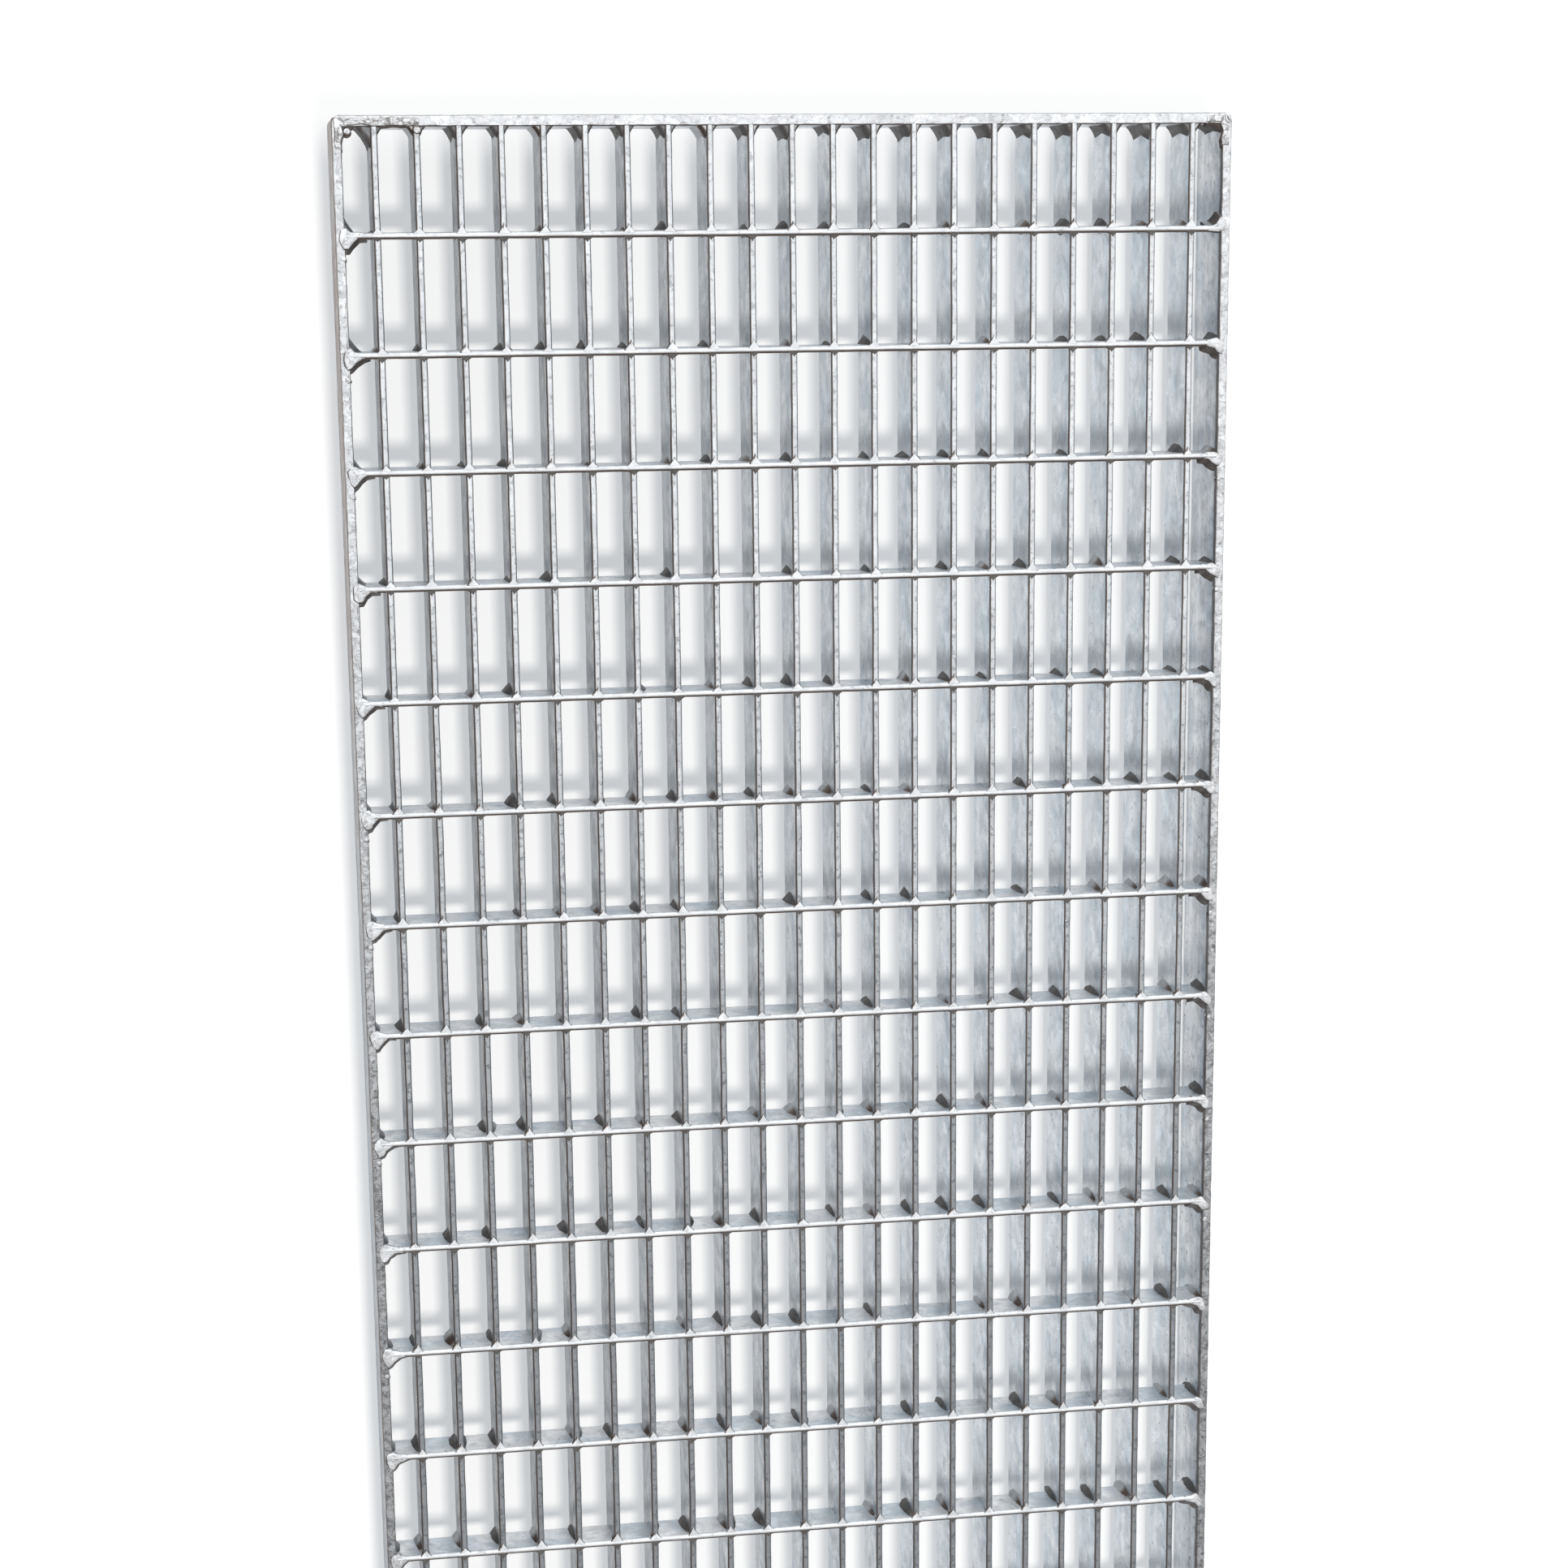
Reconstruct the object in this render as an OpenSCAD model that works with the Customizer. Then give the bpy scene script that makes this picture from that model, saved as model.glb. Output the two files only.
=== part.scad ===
// Press-locked steel grating panel, lying flat with its walking face up.
// Twenty-one deep bearing bars run along Y. Shallower cross bars sit in slots
// in their tops and are fused to them. A flat-bar frame is welded all round;
// it is deeper than the mesh, so the panel stands on the frame's lower edge.
// Origin: middle of the panel, on the plane it rests on. +Y is its length.

/* [Bearing bars] */
// Number of bearing bars across the width
bar_count = 21; // [5:1:33]
// Centre distance of the bearing bars
bar_pitch = 12; // [8:0.5:20]
// Thickness of a bearing bar
bar_t = 2; // [1.5:0.25:3]
// Depth of a bearing bar
bar_h = 20; // [18:0.5:30]

/* [Cross bars] */
// Number of cross bars along the length
cross_count = 14; // [4:1:18]
// Centre distance of the cross bars
cross_pitch = 33.3333; // [25:0.5:50]
// Thickness of a cross bar
cross_t = 2; // [1.5:0.25:3]
// Depth of a cross bar
cross_h = 14; // [8:0.5:15]
// Width of the diamond punching at the foot of each slot
punch_w = 4; // [3:0.5:7]
// Height of the diamond punching at the foot of each slot
punch_h = 4; // [2:0.5:5]

/* [Frame] */
// Depth of the frame's flat bar
frame_h = 25; // [22:0.5:60]
// Thickness of the frame's flat bar
frame_t = 3; // [2:0.5:5]
// Clear gap between the outer bearing bars and the side bars
edge_gap = 8; // [4:0.5:14]
// Clear gap between the last cross bars and the end bars
end_gap = 29.3333; // [10:0.5:45]
// Outer corner radius of the frame
corner_r = 2.5; // [0.5:0.25:2.5]

/* [Hidden] */
$fn = 32;

// clear width and length inside the frame
clear_w = (bar_count - 1) * bar_pitch + bar_t + 2 * edge_gap;
clear_l = (cross_count - 1) * cross_pitch + cross_t + 2 * end_gap;
// overall width and length
panel_w = clear_w + 2 * frame_t;
panel_l = clear_l + 2 * frame_t;
// heights of the mesh: its top is flush with the frame's top
top_z = frame_h;
bar_z = top_z - bar_h;
cross_z = top_z - cross_h;

function bar_x(i) = (i - (bar_count - 1) / 2) * bar_pitch;
function cross_y(j) = (j - (cross_count - 1) / 2) * cross_pitch;

// One bearing bar, drawn as its long side with a diamond punched
// through at the foot of each slot, then given its thickness.
module bearing_bar() {
    translate([-bar_t / 2, 0, 0])
        rotate([90, 0, 90])
            linear_extrude(bar_t)
                difference() {
                    translate([-clear_l / 2, bar_z])
                        square([clear_l, bar_h]);
                    for (j = [0 : cross_count - 1])
                        translate([cross_y(j), cross_z])
                            polygon([
                                [-punch_w / 2, 0], [0, -punch_h / 2],
                                [punch_w / 2, 0], [0, punch_h / 2]
                            ]);
                }
}

// One cross bar, from side bar to side bar.
module cross_bar() {
    translate([-clear_w / 2, -cross_t / 2, cross_z])
        cube([clear_w, cross_t, cross_h]);
}

module bar_mesh() {
    color("silver")
        union() {
            for (i = [0 : bar_count - 1])
                translate([bar_x(i), 0, 0]) bearing_bar();
            for (j = [0 : cross_count - 1])
                translate([0, cross_y(j), 0]) cross_bar();
        }
}

// Outline of a side bar: both outer corners are rounded,
// the inner side is straight.
module side_outline() {
    difference() {
        translate([0, -panel_l / 2])
            square([frame_t, panel_l]);
        for (s = [-1, 1])
            translate([0, s * panel_l / 2])
                difference() {
                    translate([-1, s > 0 ? -corner_r : -1])
                        square([corner_r + 1, corner_r + 1]);
                    translate([corner_r, -s * corner_r])
                        circle(r = corner_r);
                }
    }
}

// Side bar of the frame at the left; the right one is its mirror.
module side_bar() {
    translate([-panel_w / 2, 0, 0])
        linear_extrude(frame_h)
            side_outline();
}

module side_bar_left() {
    color("gainsboro") side_bar();
}

module side_bar_right() {
    color("gainsboro") mirror([1, 0, 0]) side_bar();
}

// End bar of the frame, between the two side bars.
module end_bar() {
    translate([-clear_w / 2, clear_l / 2, 0])
        cube([clear_w, frame_t, frame_h]);
}

module end_bar_top() {
    color("gainsboro") end_bar();
}

module end_bar_bottom() {
    color("gainsboro") mirror([0, 1, 0]) end_bar();
}

bar_mesh();
side_bar_left();
side_bar_right();
end_bar_top();
end_bar_bottom();
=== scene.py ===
# %% [markdown]
# # A press-locked steel grating panel, hot-dip galvanised
#
# The panel lies flat on a pale floor and the camera looks down on it. The
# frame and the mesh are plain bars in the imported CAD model, and the outer
# sizes are read from it. What this script adds is what a zinc bath does to
# sawn, pressed and welded bar: rounded edges, webs of zinc in every corner,
# weld beads, lumps, and a mottled skin.

import math
import random

import bmesh
import bpy
from mathutils import Matrix, Vector, noise


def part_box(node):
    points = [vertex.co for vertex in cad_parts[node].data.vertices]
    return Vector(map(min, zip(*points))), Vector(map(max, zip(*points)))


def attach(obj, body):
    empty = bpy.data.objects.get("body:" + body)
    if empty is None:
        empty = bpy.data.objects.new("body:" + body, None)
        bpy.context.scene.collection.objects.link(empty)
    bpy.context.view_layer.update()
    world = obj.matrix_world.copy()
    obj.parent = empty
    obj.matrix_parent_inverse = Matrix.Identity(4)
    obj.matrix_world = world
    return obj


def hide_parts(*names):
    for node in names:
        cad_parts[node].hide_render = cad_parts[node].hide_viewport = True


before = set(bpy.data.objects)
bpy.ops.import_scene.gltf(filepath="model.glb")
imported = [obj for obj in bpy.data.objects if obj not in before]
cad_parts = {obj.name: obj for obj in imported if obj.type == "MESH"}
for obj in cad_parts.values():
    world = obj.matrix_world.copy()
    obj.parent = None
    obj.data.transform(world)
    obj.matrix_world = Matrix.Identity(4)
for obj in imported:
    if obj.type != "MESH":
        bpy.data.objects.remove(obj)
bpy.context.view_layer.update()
MM = 0.001

# %% [markdown]
# ## Sizes
#
# The outer sizes are read off the CAD nodes. All the bars of the mesh are
# one node, so their pitch and their own sizes can't be read there, and they
# are written here once. Everything below is worked out from these values.

# %% Sizes of the bars
mesh_low, mesh_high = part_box("bar_mesh")
side_low, side_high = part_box("side_bar_left")
top_z, bar_z = mesh_high[2], mesh_low[2]
clear_x, clear_y = mesh_high[0], mesh_high[1]
edge_x, edge_y = -side_low[0], side_high[1]
floor_z = side_low[2]
bar_pitch, bar_count, bar_t = 12 * MM, 21, 2 * MM
cross_pitch, cross_count, cross_t = 33.3333 * MM, 14, 2 * MM
cross_z = top_z - 14 * MM
bar_xs = [(i - (bar_count - 1) / 2) * bar_pitch for i in range(bar_count)]
cross_ys = [(j - (cross_count - 1) / 2) * cross_pitch for j in range(cross_count)]
print("bars at", round(bar_xs[0], 4), "to", round(bar_xs[-1], 4))
print("cross bars at", round(cross_ys[0], 4), "to", round(cross_ys[-1], 4))

# %% [markdown]
# ## A small kit for pieces
#
# Every piece is modelled in a bmesh and then becomes one object at the
# origin.


# %% Turn a bmesh into a piece
def new_piece(name, bm, *materials, crease=55):
    """Make a named piece that rides with the panel; edges past crease degrees stay sharp."""
    bmesh.ops.recalc_face_normals(bm, faces=bm.faces)
    for edge in bm.edges:
        if len(edge.link_faces) == 2 and edge.calc_face_angle() > math.radians(crease):
            edge.smooth = False
    for face in bm.faces:
        face.smooth = True
    open_edges = sum(1 for edge in bm.edges if len(edge.link_faces) != 2)
    mesh = bpy.data.meshes.new(name)
    bm.to_mesh(mesh)
    bm.free()
    for material in materials:
        mesh.materials.append(material)
    piece = bpy.data.objects.new(name, mesh)
    bpy.context.scene.collection.objects.link(piece)
    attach(piece, "root")
    print(name, len(mesh.polygons), "faces,", open_edges, "open edges")
    return piece


# %% Join small parts into one piece
def join(bm, part):
    """Add a finished part's faces to a larger bmesh, and free the part."""
    scratch = bpy.data.meshes.new("scratch")
    part.to_mesh(scratch)
    part.free()
    bm.from_mesh(scratch)
    bpy.data.meshes.remove(scratch)


# %% A push that makes a coat uneven
noise.seed_set(3)  # without a seed the vector noise starts from the clock


def wobble(point, size, seed):
    """A smooth random push, the same every run; size is the width of a lump."""
    return noise.noise_vector(point / size + Vector((seed * 7.3, seed * 3.1, seed * 1.7)))


print("a push at the origin", wobble(Vector((0, 0, 0)), MM, 1))

# %% [markdown]
# ## Zinc as a material
#
# A dipped coat is not one grey. Here it is painted pale where it faces up,
# as a painted highlight, and blue-grey on the flat sides, as a painted
# reflection. It is also streaked along the way the zinc ran, and dotted with
# dross. A picture of zinc could be wrapped round the bars, but it would
# repeat and stretch. Noise does neither, so two node groups make the effects
# from it, and each finish places them with its own values.


# %% Helpers for node trees
def add(tree, kind, sockets=None, **settings):
    """Place a node; set its plain properties, then the values of its sockets."""
    node = tree.nodes.new(kind)
    for key, value in settings.items():
        setattr(node, key, value)
    for key, value in (sockets or {}).items():
        node.inputs[key].default_value = value
    return node


def feed(tree, value, socket):
    """Give a socket a number, a plain colour, or a link from another socket."""
    if isinstance(value, (int, float)):
        socket.default_value = value
    elif isinstance(value, tuple):
        socket.default_value = (*value, 1.0)
    else:
        tree.links.new(value, socket)


def maths(tree, operation, *values, clamp=False):
    """One math node between sockets or numbers."""
    node = add(tree, "ShaderNodeMath", operation=operation, use_clamp=clamp)
    for value, socket in zip(values, node.inputs):
        feed(tree, value, socket)
    return node.outputs[0]


def product(tree, first, *others):
    """Several values multiplied together."""
    for other in others:
        first = maths(tree, "MULTIPLY", first, other)
    return first


# %% Helpers that shape a value or a colour
def soft_step(tree, value, start, end):
    """A smooth 0-1 rise of a value between start and end."""
    node = add(tree, "ShaderNodeMapRange", {"From Min": start, "From Max": end},
               interpolation_type="SMOOTHSTEP")
    feed(tree, value, node.inputs["Value"])
    return node.outputs["Result"]


def ramp(tree, value, stops):
    """A colour ramp over a value, from (position, grey or colour) pairs."""
    node = add(tree, "ShaderNodeValToRGB")
    made = node.color_ramp.elements
    while len(made) > 1:
        made.remove(made[-1])
    for index, (position, colour) in enumerate(stops):
        if not isinstance(colour, tuple):
            colour = (colour, colour, colour)
        stop = made[0] if index == 0 else made.new(position)
        stop.position = position
        stop.color = (*colour, 1.0)
    feed(tree, value, node.inputs["Fac"])
    return node.outputs["Color"]


def mix_colour(tree, factor, first, second, blend="MIX"):
    """Mix two colours, each a socket or a plain colour."""
    node = add(tree, "ShaderNodeMix", data_type="RGBA", blend_type=blend)
    for value, index in ((factor, 0), (first, 6), (second, 7)):
        feed(tree, value, node.inputs[index])
    return node.outputs[2]


def grain(tree, vector, scale, detail, roughness=0.5, distortion=0.0):
    """A noise texture read at a vector, as a grey value."""
    node = add(tree, "ShaderNodeTexNoise", {"Detail": detail, "Roughness": roughness,
                                            "Distortion": distortion})
    feed(tree, vector, node.inputs["Vector"])
    feed(tree, scale, node.inputs["Scale"])
    return node.outputs["Fac"]


# %% Helpers for whole trees
COLUMN_WIDTH, ROW_HEIGHT = 220, 260


def lay_out(tree, name):
    """Stand the nodes in columns, each to the left of all that it feeds."""
    column = {node.name: 0 for node in tree.nodes}
    for _ in tree.nodes:
        for link in tree.links:
            source, target = link.from_node.name, link.to_node.name
            column[source] = max(column[source], column[target] + 1)
    filled = {}
    for node in tree.nodes:
        depth = column[node.name]
        row = filled.get(depth, 0)
        node.location = (-COLUMN_WIDTH * depth, -ROW_HEIGHT * row)
        filled[depth] = row + 1
    print(name, "has", len(tree.nodes), "nodes in", max(column.values()) + 1, "columns")


def new_group(name, inputs, outputs):
    """An empty node group that takes a Vector and named numbers, and its two ends."""
    tree = bpy.data.node_groups.new(name, "ShaderNodeTree")
    tree.interface.new_socket("Vector", in_out="INPUT", socket_type="NodeSocketVector")
    for title, value in inputs.items():
        socket = tree.interface.new_socket(title, in_out="INPUT", socket_type="NodeSocketFloat")
        socket.default_value = value
    for title in outputs:
        tree.interface.new_socket(title, in_out="OUTPUT", socket_type="NodeSocketFloat")
    return tree, add(tree, "NodeGroupInput").outputs, add(tree, "NodeGroupOutput").inputs


# %% [markdown]
# ### The mottle
#
# Close to, the coat shows clouds, single crystals (the spangle), pinholes of
# dross, and thin seams where two clouds meet. One noise makes the clouds and
# also the seams, which are the places where it passes its middle value. A
# finer noise makes the pinholes, a broad one the patches, and the cells of a
# Voronoi texture give each crystal its own grey.


# %% The mottle group
def mottle_group():
    """Masks from 0 to 1 for each mark in the coat, and a height for its relief."""
    tree, entry, leave = new_group("zinc mottle", {"Cloud Scale": 260.0, "Dot Scale": 420.0},
                                   ("Cloud", "Spangle", "Dots", "Specks", "Veins", "Patch", "Height"))
    cloud = grain(tree, entry["Vector"], entry["Cloud Scale"], 6.0, roughness=0.62, distortion=0.6)
    fine = grain(tree, entry["Vector"], entry["Dot Scale"], 3.0, roughness=0.6)
    broad = grain(tree, entry["Vector"], 70.0, 2.0)
    cells = add(tree, "ShaderNodeTexVoronoi", feature="F1")
    feed(tree, entry["Vector"], cells.inputs["Vector"])
    feed(tree, entry["Cloud Scale"], cells.inputs["Scale"])
    crystal = add(tree, "ShaderNodeSeparateColor")
    feed(tree, cells.outputs["Color"], crystal.inputs["Color"])
    seam = maths(tree, "ABSOLUTE", maths(tree, "SUBTRACT", cloud, 0.5))
    dots = ramp(tree, fine, [(0.29, 1.0), (0.37, 0.0)])
    height = maths(tree, "SUBTRACT", product(tree, cloud, 0.7), product(tree, dots, 0.25))
    for title, value in (("Cloud", ramp(tree, cloud, [(0.36, 0.0), (0.50, 0.45), (0.66, 1.0)])),
                         ("Spangle", crystal.outputs["Red"]),
                         ("Dots", dots),
                         ("Specks", ramp(tree, fine, [(0.37, 1.0), (0.47, 0.0)])),
                         ("Veins", ramp(tree, seam, [(0.006, 1.0), (0.035, 0.0)])),
                         ("Patch", ramp(tree, broad, [(0.42, 0.0), (0.60, 1.0)])),
                         ("Height", height)):
        feed(tree, value, leave[title])
    lay_out(tree, tree.name)
    return tree


MOTTLE = mottle_group()

# %% [markdown]
# ### The runs
#
# The panel hangs by one end over the bath, so the zinc drains along its
# length and leaves streaks. The same noise would do for them if it were
# pulled out along Y, and that is how they are made: the vector is multiplied
# by a large number across the panel and a small one along it.


# %% The run group
def run_group():
    """Long streaks along Y, broken by finer ones across, as a 0-1 value."""
    tree, entry, leave = new_group("zinc runs", {"Along": 18.0, "Across": 320.0}, ("Runs",))
    scale = add(tree, "ShaderNodeCombineXYZ")
    for title, axis in (("Across", "X"), ("Along", "Y"), ("Across", "Z")):
        feed(tree, entry[title], scale.inputs[axis])
    pulled = add(tree, "ShaderNodeVectorMath", operation="MULTIPLY")
    feed(tree, entry["Vector"], pulled.inputs[0])
    feed(tree, scale.outputs["Vector"], pulled.inputs[1])
    streak = grain(tree, pulled.outputs["Vector"], 1.0, 4.0, roughness=0.55, distortion=0.2)
    feed(tree, ramp(tree, streak, [(0.34, 0.0), (0.52, 0.5), (0.70, 1.0)]), leave["Runs"])
    lay_out(tree, tree.name)
    return tree


RUNS = run_group()

# %% [markdown]
# ## One recipe for each zinc finish
#
# All the finishes are one metal. They differ in how pale the coat is, how
# strong each mark is, and how much brown painted shade lies in the lee of an
# edge. So one recipe makes them all, and its plain values stand in the table
# below. Each step of the recipe is a short function that takes the colour so
# far and gives it back changed.

# %% The plain values of the recipe
RECIPE = {
    "crown": (0.55, 0.92),  # the Z of the normal where the crown begins and where it is full
    "mottle": 0.4,  # how far the clouds pull the colour towards the dark grey
    "streak": 0.3,  # the same for the runs, on the sides only
    "patch": 0.0,  # pale patches on the sides
    "spots": 0.6,  # pinholes everywhere
    "speck": 0.0,  # broader spots round the pinholes, on the crown
    "vein": 0.0,  # seams on the crown
    "dim": 0.0,  # painted shade on sides to the left
    "fade": 0.0,  # painted shade that dulls the crests towards the near end
    "drain": 0.0,  # painted shade on the sides beside each crossing
    "lee": 0.9,  # a brown line of painted shade on edges that face left or near
    "brown": (0.17, 0.125, 0.10),  # the colour of that line
    "far": 0.5,  # a grey line of painted shade on edges that face right
    "north": 0.0,  # how much of the grey line is on edges that face the far end too
    "wall": None,  # a film of this colour on upright sides, as painted shade
    "wall_share": 0.0,  # how strong the film is
    "outside": 0.0,  # the film lies only this far from the middle, or everywhere if 0
    "cloud_scale": 260.0,  # about how many clouds there are in a metre
    "dot_scale": 420.0,  # the same for the pinholes
    "rough": 0.34,  # the roughness where there is no cloud
    "metal": 0.8,
    "bump": 0.35,  # the strength of the relief
}
print("the recipe has", len(RECIPE), "values")


# %% What the coat knows at each point
def read_skin(tree, look):
    """The marks, the place and the facing at each point, and how far it is crown or side."""
    where = add(tree, "ShaderNodeTexCoord").outputs
    mottle = add(tree, "ShaderNodeGroup", {"Cloud Scale": look["cloud_scale"],
                                           "Dot Scale": look["dot_scale"]}, node_tree=MOTTLE)
    runs = add(tree, "ShaderNodeGroup", node_tree=RUNS)
    place = add(tree, "ShaderNodeSeparateXYZ")
    facing = add(tree, "ShaderNodeSeparateXYZ")
    for node in (mottle, runs, place):
        feed(tree, where["Object"], node.inputs["Vector"])
    feed(tree, where["Normal"], facing.inputs["Vector"])
    crown = soft_step(tree, facing.outputs["Z"], *look["crown"])
    return {"mottle": mottle.outputs, "runs": runs.outputs["Runs"], "place": place.outputs,
            "facing": facing.outputs, "crown": crown,
            "side": maths(tree, "SUBTRACT", 1.0, crown, clamp=True)}


# %% [markdown]
# ### The greys of the coat
#
# A bar's crown is painted pale, a painted highlight where the surface faces
# up. Its sides are a middle blue-grey, a painted reflection. Clouds pull both
# towards the dark grey of the alloy under the bright skin, and runs do so on
# the sides only.


# %% Lay the greys
def lay_greys_and_highlight(tree, skin, look, pale, mid, dark):
    """A pale crown, a painted highlight, over mid sides, a painted reflection, with clouds and runs of
    the dark grey.
    """
    sides = mix_colour(tree, product(tree, skin["mottle"]["Patch"], look["patch"]), mid, pale)
    colour = mix_colour(tree, skin["crown"], sides, pale)
    clouds = product(tree, skin["mottle"]["Cloud"], look["mottle"])
    colour = mix_colour(tree, clouds, colour, dark)
    runs = product(tree, skin["runs"], look["streak"], skin["side"])
    return mix_colour(tree, runs, colour, dark)


def add_spangle(tree, skin, colour):
    """A slight change of grey from crystal to crystal."""
    crystal = maths(tree, "MULTIPLY_ADD", skin["mottle"]["Spangle"], 0.14, 0.93)
    return mix_colour(tree, 1.0, colour, crystal, blend="MULTIPLY")


# %% [markdown]
# ### Painted shade on the coat
#
# Three marks of painted shade darken the coat: the sides of the bars on the
# left, the crests towards the near end, and the sides just past each
# crossing. Each of these is a soft step over the place on the panel. The rows
# repeat with the cross bars, so a ping-pong over Y finds them all.

# %% Thin the coat
PAST_CROSSING = 5 * MM  # the painted shade on a side is centred this far past the crossing


def paint_coat_shade(tree, skin, look, colour, dark):
    """Paint shade on the sides on the left, the crests at the near end, and the sides past a crossing.
    """
    # each goes from where it begins to where it is full, in metres from the middle
    left = soft_step(tree, skin["place"]["X"], 0.07, -0.12)
    near = soft_step(tree, skin["place"]["Y"], 0.16, -0.12)
    # counted in rows, the middle of a dull part is a whole number, where the ping-pong is 0
    first_row = (cross_count - 1) / 2 % 1 - PAST_CROSSING / cross_pitch
    row = maths(tree, "MULTIPLY_ADD", skin["place"]["Y"], 1 / cross_pitch, first_row)
    row = soft_step(tree, maths(tree, "PINGPONG", row, 0.5), 0.29, 0.03)
    for share in (product(tree, left, skin["side"], look["dim"]),
                  product(tree, near, skin["crown"], look["fade"]),
                  product(tree, row, skin["side"], look["drain"])):
        colour = mix_colour(tree, share, colour, dark)
    return colour


# %% [markdown]
# ### Painted shade on the walls
#
# The outer faces of the frame have a film of painted shade, brown at the far
# end and slate at the near end, in soft patches. The dark lumps in the
# corners have such a film of their own on every side.

# %% Film on the upright sides
SLATE = (0.27, 0.30, 0.33)


def add_wall_shade(tree, skin, look, colour):
    """A patchy film of painted shade on walls; with "outside" it keeps to the outer faces."""
    upright = soft_step(tree, skin["facing"]["Z"], 0.5, 0.2)
    if look["outside"] > 0:
        reach = maths(tree, "ABSOLUTE", skin["place"]["X"])
        reach = soft_step(tree, reach, look["outside"] - 0.4 * MM, look["outside"])
        upright = product(tree, upright, reach)
        patches = soft_step(tree, skin["mottle"]["Patch"], -1.0, 0.6)
        far_end = soft_step(tree, skin["place"]["Y"], -0.05, 0.17)
        tint = mix_colour(tree, far_end, SLATE, look["wall"])
    else:
        patches = soft_step(tree, skin["mottle"]["Cloud"], 0.1, 0.7)
        tint = look["wall"]
    film = product(tree, upright, patches, look["wall_share"])
    return mix_colour(tree, film, colour, tint)


# %% [markdown]
# ### Lines along the edges
#
# A brown line of painted shade lies in the lee of each rounded edge, where it
# faces left or near. The other edge of a crown has a thinner grey line of
# painted shade. Both could be painted by hand, but the direction that the
# surface faces finds them on every bar at once, and it doesn't change with
# the view.


# %% Brown and grey lines on the edges
def paint_edge_shade(tree, skin, look, colour, dark):
    """Painted shade: brown in the lee of each rounded edge, and grey on its far side."""
    rim = soft_step(tree, skin["facing"]["Z"], 0.04, 0.22)
    near = product(tree, skin["facing"]["Y"], -1.0)
    left = product(tree, skin["facing"]["X"], -1.0)
    lee = soft_step(tree, maths(tree, "MAXIMUM", near, left), 0.20, 0.44)
    colour = mix_colour(tree, product(tree, rim, lee, look["lee"]), colour, look["brown"])
    beyond = product(tree, skin["facing"]["Y"], look["north"])
    far = soft_step(tree, maths(tree, "MAXIMUM", skin["facing"]["X"], beyond), 0.35, 0.6)
    return mix_colour(tree, product(tree, far, rim, look["far"]), colour, dark)


# %% [markdown]
# ### Pinholes, specks and seams
#
# These are dark and small, so they go on last, over everything else. Where
# the crests fade, the marks are also weaker at the far end and stronger at
# the near one.


# %% Small dark marks
def add_marks(tree, skin, look, colour, dark):
    """Put the strongest of the three kinds of mark over the colour."""
    spots = product(tree, skin["mottle"]["Dots"], look["spots"])
    specks = product(tree, skin["mottle"]["Specks"], skin["crown"], look["speck"])
    veins = product(tree, skin["mottle"]["Veins"], skin["crown"], look["vein"])
    marks = maths(tree, "MAXIMUM", maths(tree, "MAXIMUM", spots, specks), veins, clamp=True)
    if look["fade"] > 0:
        nearer_marks = soft_step(tree, skin["place"]["Y"], 0.20, -0.10)
        nearer_marks = maths(tree, "MULTIPLY_ADD", nearer_marks, 0.85, 0.75)
        marks = maths(tree, "MULTIPLY", marks, nearer_marks, clamp=True)
    return mix_colour(tree, marks, colour, dark)


# %% [markdown]
# ### The whole finish
#
# The steps are now run in order, and their colour goes to one shader. Zinc
# is a metal, but a weathered coat scatters light like a mineral too, so
# Metallic stays below 1. The clouds also make the coat a little rougher and
# give it a low relief.

# %% Build a zinc finish
RELIEF_DEPTH = 0.6 * MM


def new_tree(name):
    """An empty material and its node tree."""
    material = bpy.data.materials.new(name)
    material.use_nodes = True
    material.node_tree.nodes.clear()
    return material, material.node_tree


def zinc(name, pale, mid, dark, **changes):
    """A galvanised finish from three greys and what it changes in the recipe."""
    look = {**RECIPE, **changes}
    material, tree = new_tree(name)
    skin = read_skin(tree, look)
    colour = lay_greys_and_highlight(tree, skin, look, pale, mid, dark)
    if look["fade"] > 0:
        colour = paint_coat_shade(tree, skin, look, colour, dark)
    colour = add_spangle(tree, skin, colour)
    if look["wall"] is not None:
        colour = add_wall_shade(tree, skin, look, colour)
    colour = paint_edge_shade(tree, skin, look, colour, dark)
    colour = add_marks(tree, skin, look, colour, dark)
    roughness = maths(tree, "MULTIPLY_ADD", skin["mottle"]["Cloud"], 0.2, look["rough"])
    relief = add(tree, "ShaderNodeBump", {"Strength": look["bump"], "Distance": RELIEF_DEPTH})
    feed(tree, skin["mottle"]["Height"], relief.inputs["Height"])
    shader = add(tree, "ShaderNodeBsdfPrincipled", {"Metallic": look["metal"]})
    feed(tree, colour, shader.inputs["Base Color"])
    feed(tree, roughness, shader.inputs["Roughness"])
    feed(tree, relief.outputs["Normal"], shader.inputs["Normal"])
    out = add(tree, "ShaderNodeOutputMaterial")
    feed(tree, shader.outputs["BSDF"], out.inputs["Surface"])
    lay_out(tree, name)
    return material


# %% [markdown]
# ## The bearing bars
#
# A bearing bar is slit from sheet, so its edges are square until the bath
# rounds them. It could be a curve with a profile, but a cube keeps the walls
# exact. So each bar starts as a cube of the bar's size. Its long edges are
# bevelled, it is cut into short lengths, and a little smooth noise then
# makes the coat run thick and thin.

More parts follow.
